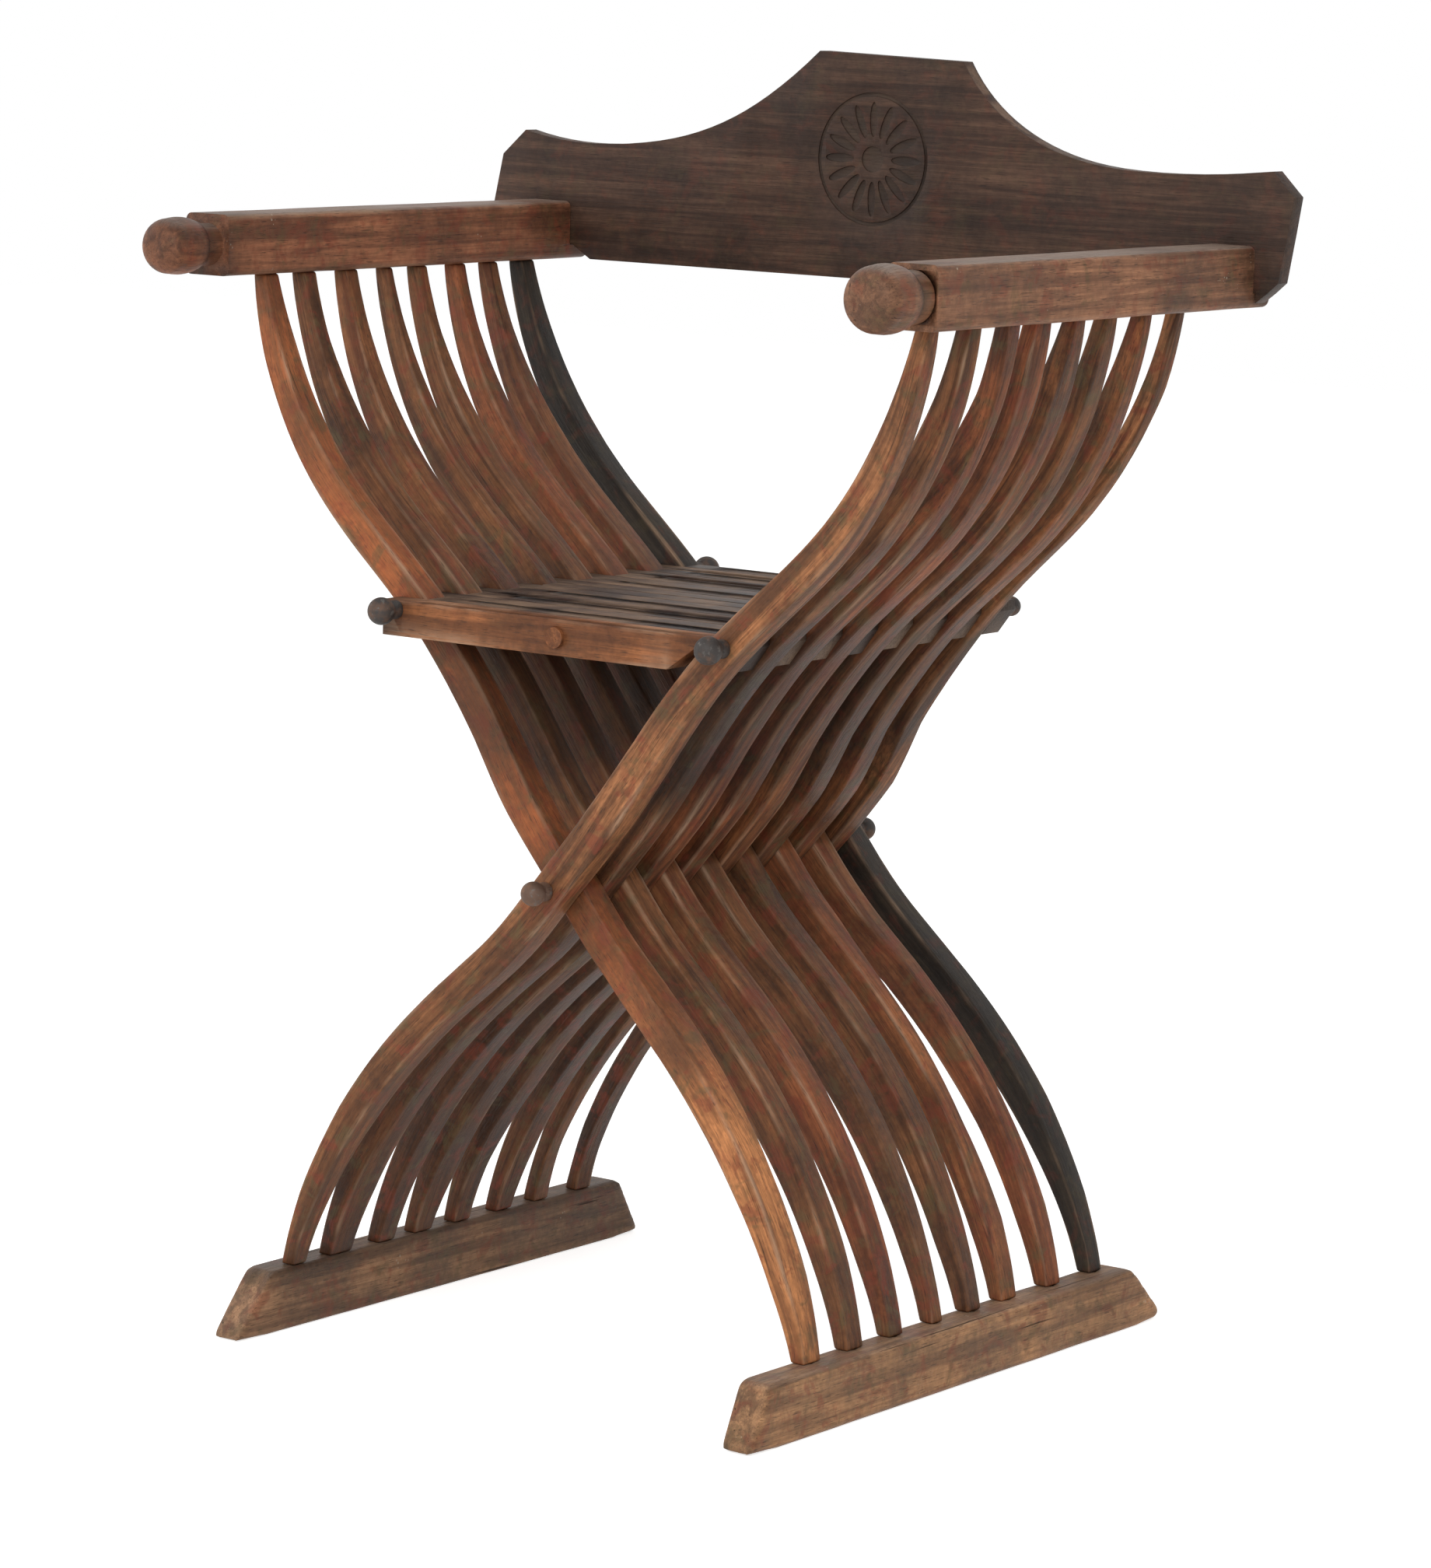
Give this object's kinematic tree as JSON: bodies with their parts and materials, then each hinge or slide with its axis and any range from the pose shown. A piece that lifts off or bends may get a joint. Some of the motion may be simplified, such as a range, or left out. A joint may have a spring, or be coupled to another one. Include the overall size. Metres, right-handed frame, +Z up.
{
  "type": "savonarola chair",
  "caption": "Folding X-frame armchair of interleaved curved wooden staves with a slatted hinged seat, rail feet, arms with round front ends and a lift-off carved back board.",
  "frame": {"origin": "on the floor, below the middle of the chair between its feet", "axes": "+Z up, the chair faces -Y, +X is to the right as seen from the front; the pivot rod runs along Y"},
  "size_m": [0.635, 0.4665, 0.8205],
  "materials": {
    "stave_wood": "worn waxed walnut",
    "rail_wood": "worn waxed walnut",
    "seat_wood": "worn waxed walnut",
    "board_wood": "dark waxed walnut",
    "iron": "dark wrought iron"
  },
  "bodies": {
    "right_arm_frame": {"right_arm_stave_1": "stave_wood", "right_arm_stave_2": "stave_wood", "right_arm_stave_3": "stave_wood", "right_arm_stave_4": "stave_wood", "right_arm_stave_5": "stave_wood", "right_arm_stave_6": "stave_wood", "right_arm_stave_7": "stave_wood", "right_arm_stave_8": "stave_wood", "right_arm": "rail_wood", "left_foot": "rail_wood", "pivot_rod": "iron", "pivot_rod_front_knob": "iron", "pivot_rod_rear_knob": "iron", "right_seat_rod": "iron", "right_seat_rod_front_knob": "iron", "right_seat_rod_rear_knob": "iron"},
    "left_arm_frame": {"left_arm_stave_1": "stave_wood", "left_arm_stave_2": "stave_wood", "left_arm_stave_3": "stave_wood", "left_arm_stave_4": "stave_wood", "left_arm_stave_5": "stave_wood", "left_arm_stave_6": "stave_wood", "left_arm_stave_7": "stave_wood", "left_arm_stave_8": "stave_wood", "left_arm": "rail_wood", "right_foot": "rail_wood", "left_seat_rod": "iron", "left_seat_rod_front_knob": "iron", "left_seat_rod_rear_knob": "iron"},
    "left_seat_half": {"left_seat_slat_1": "seat_wood", "left_seat_slat_2": "seat_wood", "left_seat_slat_3": "seat_wood", "left_seat_slat_4": "seat_wood", "left_seat_slat_5": "seat_wood", "left_seat_slat_6": "seat_wood", "left_seat_slat_7": "seat_wood", "left_seat_slat_8": "seat_wood", "middle_dowel_in_left_slats": "seat_wood"},
    "right_seat_half": {"right_seat_slat_1": "seat_wood", "right_seat_slat_2": "seat_wood", "right_seat_slat_3": "seat_wood", "right_seat_slat_4": "seat_wood", "right_seat_slat_5": "seat_wood", "right_seat_slat_6": "seat_wood", "right_seat_slat_7": "seat_wood", "right_seat_slat_8": "seat_wood", "middle_dowel_in_right_slats": "seat_wood"},
    "back_board": {"back_board": "board_wood"}
  },
  "joints": [
    {"name": "fold", "type": "hinge", "parent": "right_arm_frame", "child": "left_arm_frame", "pos_m": [0, 0, 0.3075], "axis": [0, 1, 0], "range_deg": [0, 62]},
    {"name": "left_seat_fold", "type": "hinge", "parent": "left_arm_frame", "child": "left_seat_half", "pos_m": [-0.127, 0, 0.471], "axis": [0, 1, 0], "range_deg": [-113, 0]},
    {"name": "right_seat_fold", "type": "hinge", "parent": "right_arm_frame", "child": "right_seat_half", "pos_m": [0.127, 0, 0.471], "axis": [0, 1, 0], "range_deg": [0, 113]},
    {"name": "back_board_lift", "type": "slide", "parent": "right_arm_frame", "child": "back_board", "axis": [0, 0, 1], "range_m": [0, 0.65]}
  ],
  "couplings": [
    {"joint": "left_seat_fold", "follows": "fold", "ratio": -1.81},
    {"joint": "right_seat_fold", "follows": "fold", "ratio": 1.81},
    {"joint": "back_board_lift", "follows": "fold", "m_per_rad": 0.6}
  ]
}
